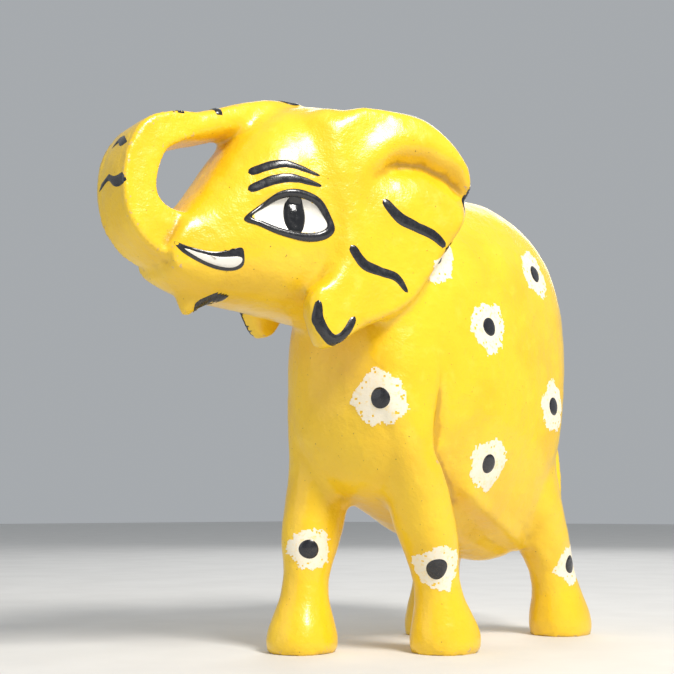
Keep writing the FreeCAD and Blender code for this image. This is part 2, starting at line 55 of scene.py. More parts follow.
SIDES = {"left": LEFT, "right": RIGHT}
print("frame:", len(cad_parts), "nodes")

# %% [markdown]
# ## Small helpers
# Operators act on whatever is selected, so every step starts from an empty selection. A modifier is
# added, set and applied in one go, which keeps each step of the work short and in plain sight.

# %% Selecting and applying
def clear_selection():
    """Leaves edit mode and selects nothing."""
    if bpy.context.object and bpy.context.object.mode != "OBJECT":
        bpy.ops.object.mode_set(mode="OBJECT")
    bpy.ops.object.select_all(action="DESELECT")


def pick(piece):
    """Makes one object the only selected and the active one."""
    clear_selection()
    piece.select_set(True)
    bpy.context.view_layer.objects.active = piece


def apply_modifier(piece, kind, **settings):
    """Adds a modifier, sets it up and applies it to the mesh."""
    pick(piece)
    modifier = piece.modifiers.new(kind.title(), kind)
    for name, value in settings.items():
        setattr(modifier, name, value)
    bpy.ops.object.modifier_apply(modifier=modifier.name)


# %% Reading and writing points
def read_points(piece):
    """All points of a mesh as one array."""
    points = np.empty(len(piece.data.vertices) * 3)
    piece.data.vertices.foreach_get("co", points)
    return points.reshape(-1, 3)


def read_normals(piece):
    normals = np.empty(len(piece.data.vertices) * 3)
    piece.data.vertices.foreach_get("normal", normals)
    return normals.reshape(-1, 3)


def write_points(piece, points):
    piece.data.vertices.foreach_set("co", np.asarray(points).ravel())
    piece.data.update()


def ramp(values, low, high):
    """A smooth step from 0 below low to 1 above high, for one number or for many."""
    share = np.clip((np.asarray(values, float) - low) / (high - low), 0.0, 1.0)
    return share * share * (3 - 2 * share)


def hill(values, middle, reach):
    """A smooth hump of height 1 at the middle that ends at the reach."""
    return 1 - ramp(np.abs(np.asarray(values, float) - middle), 0.0, reach)


# %% [markdown]
# ## Where things are on the head
# The head is turned a little on the neck, so its own directions differ from the figure's. They are read
# off the frame: the line from one eye to the other is the head's crosswise direction, and forwards is
# level and square to it. An ear is a flat flap, so the flat brush film that lies on it tells its plane.

# %% The head's directions
UP = np.array([0.0, 0.0, 1.0])


def box_middle(node):
    low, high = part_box(node)
    return np.array((low + high) / 2)


eye_left, eye_right = box_middle("eye_white_left"), box_middle("eye_white_right")
head_across = eye_left - eye_right
head_across[2] = 0.0
head_across /= np.linalg.norm(head_across)
head_back = np.cross(UP, head_across)
head_middle = (eye_left + eye_right) / 2
print("head turned by %.1f degrees" % math.degrees(math.atan2(head_across[1], head_across[0])))

# %% A flat frame for any painted film
def film_plane(node):
    """Middle, outward normal and the two flat directions of a film, from its own faces."""
    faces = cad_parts[node].data.polygons
    centres = np.empty(len(faces) * 3)
    areas = np.empty(len(faces))
    faces.foreach_get("center", centres)
    faces.foreach_get("area", areas)
    centres = centres.reshape(-1, 3)
    mean = (centres * areas[:, None]).sum(0) / areas.sum()
    spread = ((centres - mean) * areas[:, None]).T @ (centres - mean)
    normal = np.linalg.eigh(spread)[1][:, 0]
    points = read_points(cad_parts[node])
    if np.dot(normal, outward_at(mean)) < 0:
        normal = -normal
    return flat_frame(points, normal)


def flat_frame(points, normal):
    """The frame square to a normal: its middle, its normal, sideways, up, and half its two sizes."""
    up = UP - normal * normal[2]
    up /= np.linalg.norm(up)
    side = np.cross(up, normal)
    spans = [(points @ axis).min() for axis in (side, up, normal)]
    tops = [(points @ axis).max() for axis in (side, up, normal)]
    half = [(top - low) / 2 for low, top in zip(spans, tops)]
    middle = sum(axis * (low + top) / 2 for axis, low, top in zip((side, up, normal), spans, tops))
    return {"middle": middle, "normal": normal, "side": side, "up": up, "half": half}


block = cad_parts["carved_figure"]
block_tree = BVHTree.FromPolygons([v.co for v in block.data.vertices],
                                  [list(p.vertices) for p in block.data.polygons])


def outward_at(point):
    """The wood's outward direction nearest to a point."""
    return np.array(block_tree.find_nearest(Vector(point))[1])


# %% The ears' planes
def ear_frame(side_name):
    """An ear's plane, and the places where its length and its height start, from its brush marks."""
    stroke, rim = "ear_lobe_stroke_" + side_name, "ear_rim_line_" + side_name
    plane = film_plane("ear_stroke_upper_" + side_name)
    back = plane["side"] * SIDES[side_name]
    lobe, edge = read_points(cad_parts[stroke]), read_points(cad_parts[rim])
    start, end = (lobe @ back).min(), (edge @ back).max()
    low, high = lobe[:, 2].min(), edge[:, 2].max()
    return {"normal": plane["normal"], "back": back, "face": plane["middle"] @ plane["normal"],
            "start": start, "length": end - start, "low": low, "height": high - low}


ears = {name: ear_frame(name) for name in SIDES}


def in_ear(points, ear):
    """Shares of the ear's length and height, and the distance outward from its face, of many points."""
    along = (points @ ear["back"] - ear["start"]) / ear["length"]
    high = (points[:, 2] - ear["low"]) / ear["height"]
    outward = points @ ear["normal"] - ear["face"]
    return along, high, outward


# %% [markdown]
# ## The carved wood
# A carver leaves no machined edges: where a leg meets the belly or an ear grows out of the cheek, rasp
# and sandpaper leave one flowing surface. A voxel remesh turns the joined forms into an even skin
# that can be rubbed down the same way, strongly in the creases and lightly on the crisp edges.

# %% An even skin over the block
SKIN_CELL = 0.92 * MM
skin = bpy.data.objects.new("carved_wood", block.data.copy())
bpy.context.scene.collection.objects.link(skin)
skin.data.materials.clear()
pick(skin)
bpy.ops.object.mode_set(mode="EDIT")
bpy.ops.mesh.select_all(action="SELECT")
bpy.ops.mesh.remove_doubles(threshold=0.02 * MM)
bpy.ops.object.mode_set(mode="OBJECT")


def add_lump(name, middle, radii, turn):
    """A rounded lump of wood, joined to the block before the skin is drawn over both."""
    clear_selection()
    bpy.ops.mesh.primitive_uv_sphere_add(segments=32, ring_count=20, radius=1.0, location=middle,
                                         rotation=(0, 0, turn))
    lump = bpy.context.object
    lump.name = name
    bpy.ops.transform.resize(value=radii, orient_type="LOCAL")
    bpy.ops.object.transform_apply(location=True, rotation=True, scale=True)
    pick(skin)
    lump.select_set(True)
    bpy.ops.object.join()


def ear_place(ear, along, high, outward):
    """The point at shares of an ear's length and height, and a distance outward from its face."""
    place = ear["back"] * (ear["start"] + along * ear["length"]) + ear["normal"] * (ear["face"] + outward)
    place[2] = ear["low"] + high * ear["height"]
    return place


# two lumps fill the corner between the head and each ear: name, place on the ear, radii in millimetres
LUMPS = [("ear_root", (0.13, 0.86), (9, 7, 8)), ("temple", (0.10, 0.66), (8, 6.5, 11))]
LUMP_DEPTH = 7.5 * MM
for side_name, ear in ears.items():
    turn = math.atan2(ear["back"][1], ear["back"][0])
    for lump_name, (along, high), radii in LUMPS:
        place = ear_place(ear, along, high, -LUMP_DEPTH)
        add_lump(lump_name + "_" + side_name, place, tuple(radius * MM for radius in radii), turn)
apply_modifier(skin, "REMESH", mode="VOXEL", voxel_size=SKIN_CELL, adaptivity=0.0)
print("skin:", len(skin.data.vertices), "points")

# %% Measuring the creases
def neighbour_pairs(piece):
    pairs = np.empty(len(piece.data.edges) * 2, dtype=np.int64)
    piece.data.edges.foreach_get("vertices", pairs)
    pairs = pairs.reshape(-1, 2)
    return np.concatenate([pairs, pairs[:, ::-1]])


def neighbour_mean(values, pairs, count):
    """The mean of each point's neighbours, of one number or of three."""
    near = np.maximum(np.bincount(pairs[:, 0], minlength=count), 1)
    if values.ndim == 1:
        return np.bincount(pairs[:, 0], weights=values[pairs[:, 1]], minlength=count) / near
    return np.stack([neighbour_mean(values[:, i], pairs, count) for i in range(values.shape[1])], 1)


def creasing(piece, pairs, spread):
    """How hollow the surface is at each point, in metres, spread over the neighbours."""
    points = read_points(piece)
    count = len(points)
    hollow = ((neighbour_mean(points, pairs, count) - points) * read_normals(piece)).sum(1)
    for _ in range(spread):
        hollow = neighbour_mean(hollow, pairs, count)
    return hollow


def weigh(piece, name, weights, steps=12):
    """A vertex group whose weights are rounded to a few steps, which is quick to fill."""
    group = piece.vertex_groups.new(name=name)
    levels = np.round(np.clip(weights, 0, 1) * steps).astype(int)
    for level in range(1, steps + 1):
        members = np.nonzero(levels == level)[0].tolist()
        if members:
            group.add(members, level / steps, "REPLACE")
    return group


# %% Rubbing down
SOLE = 0.35 * MM
MELT_STEPS, MELT_FADE = 22, 0.985       # how far the softening spreads from a crease
links = neighbour_pairs(skin)
start_points = read_points(skin)
off_ground = ramp(start_points[:, 2], SOLE, 4 * SOLE)
weigh(skin, "above_soles", off_ground)
apply_modifier(skin, "SMOOTH", factor=0.5, iterations=5, vertex_group="above_soles")

crease = creasing(skin, links, 3)
melt = ramp(crease, 0.012 * MM, 0.05 * MM)
for _ in range(MELT_STEPS):
    melt = np.maximum(melt * MELT_FADE, neighbour_mean(melt, links, len(melt)))
points = read_points(skin)
for ear in ears.values():
    along, high, outward = in_ear(points, ear)
    front = hill(along, 0.04, 0.26) * ramp(high, 0.16, 0.34) * ramp(outward, -9 * MM, -5 * MM)
    melt = np.maximum(melt, front)
forward = -(points - head_middle) @ head_back
above_mouth = ramp(points[:, 2] - head_middle[2], -22 * MM, -10 * MM)
trunk_only = ramp(forward, 19 * MM, 27 * MM) * above_mouth
melt *= 1 - trunk_only
weigh(skin, "creases", melt * off_ground)
apply_modifier(skin, "SMOOTH", factor=0.5, iterations=70, vertex_group="creases")
print("creases rubbed down on", int((melt > 0.5).sum()), "points")

# %% [markdown]
# ## The trunk's ridges
# The trunk was sawn out flat and only its corners eased, so its outer face meets its sides
# in a clear ridge. Rubbing down has rounded it; the corners are those points whose normals look half
# sideways and half outward, and they are drawn out again along their normals.

# %% Drawing out the corners
RIDGE = 1.15 * MM
sideways = (read_normals(skin) @ head_across) ** 2
corner = (4 * sideways * (1 - sideways)) ** 2
write_points(skin, read_points(skin) + read_normals(skin) * (RIDGE * corner * trunk_only)[:, None])

# %% [markdown]
# ## Shaping the ears
# The top of each ear is a thick roll that hangs over a gouged hollow, and below the hollow the flap swells
# gently to its rim. Points are pushed in and out along the ear's own normal by smooth
# humps, which is what a gouge and a rasp do and keeps the flap one surface with the cheek.

# %% Roll, gouge and swell
GOUGE_DEPTH, ROLL_HEIGHT, SWELL_HEIGHT, LOW_DEPTH = 2.6 * MM, 1.5 * MM, 0.9 * MM, 0.5 * MM
FOLD_LINE = [(0.16, 0.58), (0.34, 0.70), (0.50, 0.765), (0.68, 0.775), (0.84, 0.735), (0.97, 0.66)]


def fold_height(along):
    """The height of the gouged line under the roll, at each share of the ear's length."""
    return np.interp(along, [a for a, _ in FOLD_LINE], [h for _, h in FOLD_LINE])


def shape_ear(piece, ear):
    points = read_points(piece)
    along, high, outward = in_ear(points, ear)
    face = ramp(outward, -5.5 * MM, -1.5 * MM) * (1 - ramp(outward, 6 * MM, 9 * MM))
    reach = ramp(along, 0.05, 0.35) * (1 - ramp(along, 1.0, 1.06)) * face
    above = high - fold_height(along)
    gouge = np.exp(-(above / np.where(above > 0, 0.030, 0.075)) ** 2) * ramp(along, 0.22, 0.55)
    roll = hill(above, 0.10, 0.13) * ramp(along, 0.10, 0.45)
    swell = hill(above, -0.19, 0.16) * ramp(along, 0.30, 0.60)
    low_hollow = hill(high, 0.30, 0.30) * hill(along, 0.40, 0.45)
    push = (-GOUGE_DEPTH * gouge + ROLL_HEIGHT * roll + SWELL_HEIGHT * swell - LOW_DEPTH * low_hollow) * reach
    write_points(piece, points + ear["normal"] * push[:, None])


for ear in ears.values():
    shape_ear(skin, ear)

# %% [markdown]
# ## Freeing the legs from the flank
# The carver parted the front leg from the belly with a deep narrow cut behind it, and left the
# thigh standing as a ridge that runs down to the rear foot, with the wood under it hollowed away. Both are
# lines drawn on the flank; each point of the skin is moved by how far it lies from them.

# %% The cut behind the leg and the ridge of the thigh
LEG_CUT = [(-3.0, 80), (-2.8, 66), (-2.6, 54), (3.5, 47), (12, 41.5)]       # along the body and up, in mm
CUT_DEPTH = [0.2, 1.4, 2.4, 2.0, 0.3]
CUT_WIDTH = 1.6
THIGH_LINE = [(9, 46), (20, 40), (33, 34.5), (52, 26.5), (58, 20)]
RIDGE_HEIGHT, RIDGE_WIDTH = 0.9, 2.2
UNDERCUT, UNDERCUT_REACH = 1.3, 4.5      # the hollow under the ridge


def to_line(points, line):
    """The distance of points to a line of straight runs across the flank, and the share along it."""
    flank = points[:, 1:] / MM
    nearest, share = np.full(len(points), 1e9), np.zeros(len(points))
    for number, (start, end) in enumerate(zip(np.array(line[:-1], float), np.array(line[1:], float))):
        run = end - start
        along = np.clip(((flank - start) @ run) / (run @ run), 0, 1)
        distance = np.linalg.norm(flank - start - along[:, None] * run, axis=1)
        closer = distance < nearest
        nearest = np.where(closer, distance, nearest)
        share = np.where(closer, (number + along) / (len(line) - 1), share)
    return nearest, share


points, normals = read_points(skin), read_normals(skin)
on_flank = ramp(points[:, 0], 7 * MM, 11 * MM) * ramp(normals[:, 0], 0.05, 0.35)
distance, share = to_line(points, LEG_CUT)
depth = np.interp(share, np.linspace(0, 1, len(CUT_DEPTH)), CUT_DEPTH)
push = -depth * np.exp(-(distance / CUT_WIDTH) ** 2) * on_flank
distance, share = to_line(points, THIGH_LINE)
line_y, line_z = zip(*THIGH_LINE)
below = np.interp(points[:, 1] / MM, line_y, line_z) - points[:, 2] / MM
fade = ramp(share, 0.0, 0.15) * (1 - ramp(share, 0.8, 1.0)) * on_flank
ridge = RIDGE_HEIGHT * np.exp(-(distance / RIDGE_WIDTH) ** 2)
undercut = UNDERCUT * hill(below, UNDERCUT_REACH, UNDERCUT_REACH) * (distance < 2 * UNDERCUT_REACH)
push = push + fade * (ridge - undercut)
write_points(skin, points + normals * (push * MM)[:, None])
print("leg cut and thigh ridge: moved by up to %.1f mm" % np.abs(push).max())

# %% [markdown]
# ## Hollowing the eyes
# Each eye is a shallow almond cut into the cheek, deepest under the upper lid, so the white lies in
# shade above and catches the light below.

# %% The eye hollows
eye_planes = {name: film_plane("eye_white_" + name) for name in SIDES}
EYE_DEPTH = 2.0 * MM


def hollow_eye(piece, plane):
    points = read_points(piece)
    offset = points - plane["middle"]
    side = offset @ plane["side"] / plane["half"][0]
    up = offset @ plane["up"] / plane["half"][1]
    near = np.abs(offset @ plane["normal"]) < 8 * MM
    inside = 1 - ramp(np.hypot(side, up), 0.62, 1.12)
    depth = EYE_DEPTH * inside * (0.65 + 0.45 * np.clip(up, -1, 1)) * near
    write_points(piece, points - plane["normal"] * depth[:, None])


for plane in eye_planes.values():
    hollow_eye(skin, plane)
weigh(skin, "all_over", off_ground)
apply_modifier(skin, "SMOOTH", factor=0.5, iterations=2, vertex_group="all_over")

# %% Hand-carved unevenness
waves = bpy.data.textures.new("carver_waves", "CLOUDS")
waves.noise_scale = 0.016
waves.noise_depth = 2
apply_modifier(skin, "DISPLACE", texture=waves, texture_coords="LOCAL", strength=0.9 * MM, mid_level=0.5,
               vertex_group="all_over")
chips = bpy.data.textures.new("rasp_marks", "CLOUDS")
chips.noise_scale = 0.0028
apply_modifier(skin, "DISPLACE", texture=chips, texture_coords="LOCAL", strength=0.16 * MM, mid_level=0.5,
               vertex_group="all_over")
points = read_points(skin)
points[:, 2] = np.maximum(points[:, 2], 0.0)
write_points(skin, points)
pick(skin)
bpy.ops.object.shade_smooth()
print("skin spans", [round(v, 4) for v in np.ptp(points, axis=0)])

# %% [markdown]
# ## Paint colours
# Every finish is mixed from noise in object coordinates, at the scale of the real thing: slow changes where
# the brush left the coat thick or thin, fine pimples where dust and grain show through, and rare dark
# specks. Gloss varies with them, because thin paint sinks into the wood and dries duller. The yellow also
# carries painted shade in the creases.

# %% Node helpers
def new_material(name):
    """An empty node tree with a shader, its output and object coordinates."""
    material = bpy.data.materials.new(name)
    material.use_nodes = True
    nodes = material.node_tree.nodes
    shader = nodes["Principled BSDF"]
    coordinates = nodes.new("ShaderNodeTexCoord").outputs["Object"]
    return material, shader, coordinates


def join(material, output, socket):
    material.node_tree.links.new(output, socket)


def noise_of(material, coordinates, scale, detail=3.0, roughness=0.55, stretch=None):
    """Noise with so many spots to the metre, drawn out along an axis if asked."""
    nodes = material.node_tree.nodes
    if stretch:
        mapping = nodes.new("ShaderNodeMapping")
        mapping.inputs["Scale"].default_value = stretch
        join(material, coordinates, mapping.inputs["Vector"])
        coordinates = mapping.outputs["Vector"]
    pattern = nodes.new("ShaderNodeTexNoise")
    pattern.inputs["Scale"].default_value = scale
    pattern.inputs["Detail"].default_value = detail
    pattern.inputs["Roughness"].default_value = roughness
    join(material, coordinates, pattern.inputs["Vector"])
    return pattern.outputs["Fac"]


def between(material, value, low, high, to_low=0.0, to_high=1.0):
    """Maps a value from one range to another and holds it there."""
    mapper = material.node_tree.nodes.new("ShaderNodeMapRange")
    mapper.interpolation_type = "SMOOTHSTEP"
    for name, number in (("From Min", low), ("From Max", high), ("To Min", to_low), ("To Max", to_high)):
        mapper.inputs[name].default_value = number
    join(material, value, mapper.inputs["Value"])
    return mapper.outputs["Result"]


def blend_colours(material, share, first, second):
    """Mixes two colours; each is a colour or the output of another mix."""
    mixer = material.node_tree.nodes.new("ShaderNodeMix")
    mixer.data_type = "RGBA"
    join(material, share, mixer.inputs[0])
    for socket, colour in ((mixer.inputs[6], first), (mixer.inputs[7], second)):
        if isinstance(colour, tuple):
            socket.default_value = (*colour, 1.0)
        else:
            join(material, colour, socket)
    return mixer.outputs[2]


def calculate(material, operation, first, second):
    """One step of arithmetic between two values."""
    step = material.node_tree.nodes.new("ShaderNodeMath")
    step.operation = operation
    for socket, value in zip(step.inputs, (first, second)):
        if isinstance(value, (int, float)):
            socket.default_value = value
        else:
            join(material, value, socket)
    return step.outputs[0]


def attribute_of(material, name):
    reader = material.node_tree.nodes.new("ShaderNodeAttribute")
    reader.attribute_name = name
    return reader.outputs["Fac"]


def raise_by(material, shader, layers):
    """Bump built from several heights, each with its own depth in metres."""
    normal = None
    for height, depth in layers:
        bump = material.node_tree.nodes.new("ShaderNodeBump")
        bump.inputs["Strength"].default_value = 1.0
        bump.inputs["Distance"].default_value = depth
        join(material, height, bump.inputs["Height"])
        if normal:
            join(material, normal, bump.inputs["Normal"])
        normal = bump.outputs["Normal"]
    join(material, normal, shader.inputs["Normal"])


# %% Yellow gloss
YELLOW = (0.93, 0.605, 0.016)
DEEP_YELLOW = (0.80, 0.470, 0.008)
PALE_YELLOW = (0.97, 0.70, 0.06)
SHADOW_OCHRE = (0.52, 0.285, 0.005)
GRIME = (0.20, 0.10, 0.012)
BARE_WOOD = (0.62, 0.40, 0.20)


def yellow_paint(name):
    material, shader, place = new_material(name)
    slow = between(material, noise_of(material, place, 45, 2), 0.40, 0.75, 0.0, 0.6)
    blotch = between(material, noise_of(material, place, 190, 4, 0.65), 0.45, 0.75)
    grain = noise_of(material, place, 900, 3, 0.6, (1.0, 0.35, 1.0))
    pimple = noise_of(material, place, 2300, 2, 0.5)
    colour = blend_colours(material, slow, YELLOW, DEEP_YELLOW)
    colour = blend_colours(material, between(material, blotch, 0.2, 1.0, 0.0, 0.25), colour, PALE_YELLOW)
    colour = blend_colours(material, between(material, grain, 0.55, 0.80, 0.0, 0.30), colour, DEEP_YELLOW)
    # painted shade: the creases of the carving are darkened towards the yellow's shade colour, SHADOW_OCHRE
    hollow = between(material, attribute_of(material, "hollow"), 0.05, 1.0, 0.0, 0.75)
    colour = blend_colours(material, hollow, colour, SHADOW_OCHRE)
    edge = calculate(material, "MULTIPLY", attribute_of(material, "edge"),
                     between(material, noise_of(material, place, 650, 4, 0.7), 0.56, 0.66))
    colour = blend_colours(material, between(material, edge, 0.30, 0.60, 0.0, 0.85), colour, BARE_WOOD)
    specks = between(material, noise_of(material, place, 1500, 1, 0.4), 0.765, 0.80, 0.0, 0.8)
    colour = blend_colours(material, specks, colour, GRIME)
    join(material, colour, shader.inputs["Base Color"])
    join(material, between(material, blotch, 0.0, 1.0, 0.30, 0.46), shader.inputs["Roughness"])
    shader.inputs["Coat Weight"].default_value = 0.35
    shader.inputs["Coat Roughness"].default_value = 0.16
    raise_by(material, shader, [(noise_of(material, place, 260, 3), 0.35 * MM), (grain, 0.09 * MM),
                                (pimple, 0.05 * MM), (specks, 0.05 * MM)])
    return material


yellow_gloss = yellow_paint("yellow_gloss")

# %% Black, white and sponged cream
def enamel(name, colour, worn_colour, worn_from, roughness):
    """Thick glossy enamel with brush streaks, rubbed thin in places."""
    material, shader, place = new_material(name)
    streak = noise_of(material, place, 700, 3, 0.6)
    worn = between(material, noise_of(material, place, 420, 5, 0.7), worn_from, worn_from + 0.08)
    mottled = blend_colours(material, between(material, streak, 0.4, 0.8, 0.0, 0.25), colour, worn_colour)
    join(material, blend_colours(material, worn, mottled, worn_colour), shader.inputs["Base Color"])
    dull = between(material, streak, 0.3, 0.8, roughness, roughness + 0.18)
    join(material, dull, shader.inputs["Roughness"])
    shader.inputs["Coat Weight"].default_value = 0.5
    shader.inputs["Coat Roughness"].default_value = 0.12
    raise_by(material, shader, [(streak, 0.05 * MM), (noise_of(material, place, 2400, 2), 0.025 * MM)])
    return material


black_enamel = enamel("black_gloss", (0.0075, 0.008, 0.012), (0.06, 0.06, 0.065), 0.70, 0.22)
white_enamel = enamel("white_gloss", (0.80, 0.77, 0.70), (0.58, 0.53, 0.42), 0.62, 0.26)
pupil_gloss = enamel("pupil_gloss", (0.005, 0.0055, 0.007), (0.02, 0.02, 0.022), 0.80, 0.07)


def sponge_paint(name):
    material, shader, place = new_material(name)
    cells = noise_of(material, place, 820, 4, 0.75)
    thin = between(material, cells, 0.50, 0.72)
    colour = blend_colours(material, thin, (0.90, 0.83, 0.66), (0.93, 0.69, 0.24))
    slow = between(material, noise_of(material, place, 150, 2), 0.4, 0.7, 0.0, 0.35)
    colour = blend_colours(material, slow, colour, (0.93, 0.88, 0.78))
    join(material, colour, shader.inputs["Base Color"])
    join(material, between(material, cells, 0.3, 0.7, 0.42, 0.62), shader.inputs["Roughness"])
    raise_by(material, shader, [(cells, 0.10 * MM), (noise_of(material, place, 2600, 2), 0.04 * MM)])
    return material


cream_sponge = sponge_paint("sponged_cream")

# %% Painted shade in the hollows, wear on the edges
def store_attribute(piece, name, values):
    layer = piece.data.attributes.new(name, "FLOAT", "POINT")
    layer.data.foreach_set("value", np.asarray(values, np.float32))


# painted shade: concave creases get the 'hollow' attribute, which darkens the yellow there; convex edges get
# real wear to bare wood
crease = creasing(skin, links, 2)
store_attribute(skin, "hollow", ramp(crease, 0.010 * MM, 0.060 * MM))
store_attribute(skin, "edge", ramp(-crease, 0.030 * MM, 0.085 * MM))
skin.data.materials.append(yellow_gloss)
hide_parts("carved_figure")
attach(skin, "root")

# %% [markdown]
# ## Laying paint on the wood
# A mark is drawn flat, above its place and square to the wood, and then let down onto the surface
# by a shrinkwrap that looks along the mark's own normal. Solidify gives it the body of a coat of
# paint. Strokes are a grid whose edges are let down further than its middle, as wet paint settles.

# %% Drawing flat and letting down
HOVER = 7 * MM
DEEPEST = 6 * MM
COAT = 0.26 * MM


def stand_at(piece, plane):
    """Places a flat drawing above its place on the wood, facing it."""
    rotation = Matrix((plane["side"], plane["up"], plane["normal"])).transposed().to_4x4()
    piece.matrix_world = Matrix.Translation(Vector(plane["middle"] + plane["normal"] * HOVER)) @ rotation
    bpy.context.view_layer.update()


def let_down(piece, lift):
    """Drops the drawing onto the wood and deletes what misses it or falls too far."""
    apply_modifier(piece, "SHRINKWRAP", target=skin, wrap_method="PROJECT", wrap_mode="ABOVE_SURFACE",
                   use_project_z=True, use_negative_direction=True, use_positive_direction=False,
                   offset=lift)
    fallen = -read_points(piece)[:, 2]
    missed = (np.abs(fallen) < 0.001 * MM) | (fallen > HOVER + DEEPEST)
    if missed.any():
        choose_points(piece, missed)
        bpy.ops.mesh.delete(type="VERT")
        bpy.ops.object.mode_set(mode="OBJECT")
    pick(piece)
    bpy.ops.object.transform_apply(location=True, rotation=True, scale=True)
    return piece


def choose_points(piece, chosen):
    """Selects points by a mask and stays in edit mode."""
    pick(piece)
    bpy.ops.object.mode_set(mode="EDIT")
    bpy.ops.mesh.select_mode(type="VERT")
    bpy.ops.mesh.select_all(action="DESELECT")
    bpy.ops.object.mode_set(mode="OBJECT")
    piece.data.vertices.foreach_set("select", chosen.astype(bool))
    bpy.ops.object.mode_set(mode="EDIT")


def thicken(piece, coat=COAT):
    apply_modifier(piece, "SOLIDIFY", thickness=coat, offset=-1.0, use_even_offset=False)


def paint(piece, material, slot, *nodes):
    """Gives a finished film its finish and its place in the assembly."""
    piece.data.materials.clear()
    piece.data.materials.append(material)
    pick(piece)
    bpy.ops.object.shade_smooth_by_angle(angle=math.radians(50))
    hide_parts(*nodes)
    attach(piece, "root")


# %% A brush stroke
def stroke(name, plane, spine, widths, steps=40, rows=6, lift=0.04 * MM, crown=0.22 * MM, wobble=0.0):
    """A band along a spine drawn on a plane, with the swelling width of a loaded brush.

    The spine is in shares of half the plane's two sizes, the widths in metres along it.
    """
    clear_selection()
    bpy.ops.mesh.primitive_grid_add(x_subdivisions=steps, y_subdivisions=rows, size=2)
    piece = bpy.context.object
    piece.name = name
    grid = read_points(piece)
    share, across = (grid[:, 0] + 1) / 2, grid[:, 1]
    places = np.array(spine) * (plane["half"][0], plane["half"][1])
    knots = np.linspace(0, 1, len(places))
    line = np.stack([smooth_curve(share, knots, places[:, i]) for i in range(2)], 1)
    ahead = np.stack([smooth_curve(share + 0.01, knots, places[:, i]) for i in range(2)], 1) - line
    ahead /= np.maximum(np.linalg.norm(ahead, axis=1), 1e-9)[:, None]
    half = np.interp(share, np.linspace(0, 1, len(widths)), widths) / 2
    ends = np.sqrt(np.clip(1 - (np.abs(share * 2 - 1)) ** 14, 0.0, 1.0))
    ragged = np.array([noise.noise(Vector((s * 9, math.copysign(3.1, a), len(name))))
                       for s, a in zip(share, across)])
    half = half * ends * (1 + wobble * ragged)
    flat = line + np.stack([-ahead[:, 1], ahead[:, 0]], 1) * (half * across)[:, None]
    write_points(piece, np.column_stack([flat, np.zeros(len(flat))]))
    weigh(piece, "crown", np.sqrt(np.clip(1 - across ** 2, 0, 1)) * np.sqrt(ends))
    stand_at(piece, plane)
    let_down(piece, lift)
    apply_modifier(piece, "DISPLACE", strength=crown, mid_level=0.0, vertex_group="crown")
    return piece


def catmull_rom(a, b, c, d, t):
    """The share t of the way from b to c, on a smooth line that also passes through a and d."""
    bend = (2 * a - 5 * b + 4 * c - d) * t ** 2 + (3 * b - a - 3 * c + d) * t ** 3
    return 0.5 * (2 * b + (c - a) * t + bend)


def smooth_curve(at, knots, values):
    """A smooth line through a few values, by Catmull and Rom's rule."""
    at = np.clip(at, 0.0, 1.0)
    spans = len(knots) - 1
    index = np.clip((at * spans).astype(int), 0, spans - 1)
    t = at * spans - index
    padded = np.concatenate([[2 * values[0] - values[1]], values, [2 * values[-1] - values[-2]]])
    return catmull_rom(*(padded[index + i] for i in range(4)), t)


def mirrored(spine, side):
    """A spine drawn for the left side, turned over for the right."""
    return [(along * side, high) for along, high in spine]


# %% [markdown]
# ## Sponge dabs and their dots
# A dab is a print of a torn bit of sponge: a full middle, a ragged edge, crumbs around it and small
# bare pores. A fine grid is laid on the wood and the cells where the sponge missed are deleted,
# so the raggedness is real and shows from any side. The dot on top is a drop of enamel, set with
# the end of a stick, so it is a low dome, a little out of round.

# %% One dab
DAB_CELLS = 60


def dab(name, plane, seed):
    clear_selection()
    bpy.ops.mesh.primitive_grid_add(x_subdivisions=DAB_CELLS, y_subdivisions=DAB_CELLS, size=2)
    piece = bpy.context.object
    piece.name = name
    radius = max(plane["half"][0], plane["half"][1])
    grid = read_points(piece)
    spin = seed * 1.7
    turned = np.column_stack([grid[:, 0] * math.cos(spin) - grid[:, 1] * math.sin(spin),
                              grid[:, 0] * math.sin(spin) + grid[:, 1] * math.cos(spin)])
    far = np.hypot(turned[:, 0], turned[:, 1])
    around = np.arctan2(turned[:, 1], turned[:, 0])
    lobes = 0.88 + 0.06 * np.sin(3 * around + seed) + 0.04 * np.sin(5 * around + 2.3 * seed)
    torn = np.array([noise.fractal(Vector((x * 4.5, y * 4.5, seed * 7.3)), 0.6, 2.1, 5) for x, y in turned])
    keep = far + 0.13 * torn < lobes
    pores = np.array([noise.noise(Vector((x * 13, y * 13, seed * 3.1))) for x, y in turned])
    keep &= ~((pores > 0.60) & (far > 0.55))
    write_points(piece, grid * radius)
    stand_at(piece, plane)
    choose_points(piece, ~keep)
    bpy.ops.mesh.delete(type="VERT")
    bpy.ops.mesh.select_all(action="SELECT")
    bpy.ops.mesh.delete_loose()
    bpy.ops.object.mode_set(mode="OBJECT")
    let_down(piece, 0.07 * MM)
    thicken(piece, 0.16 * MM)
    return piece


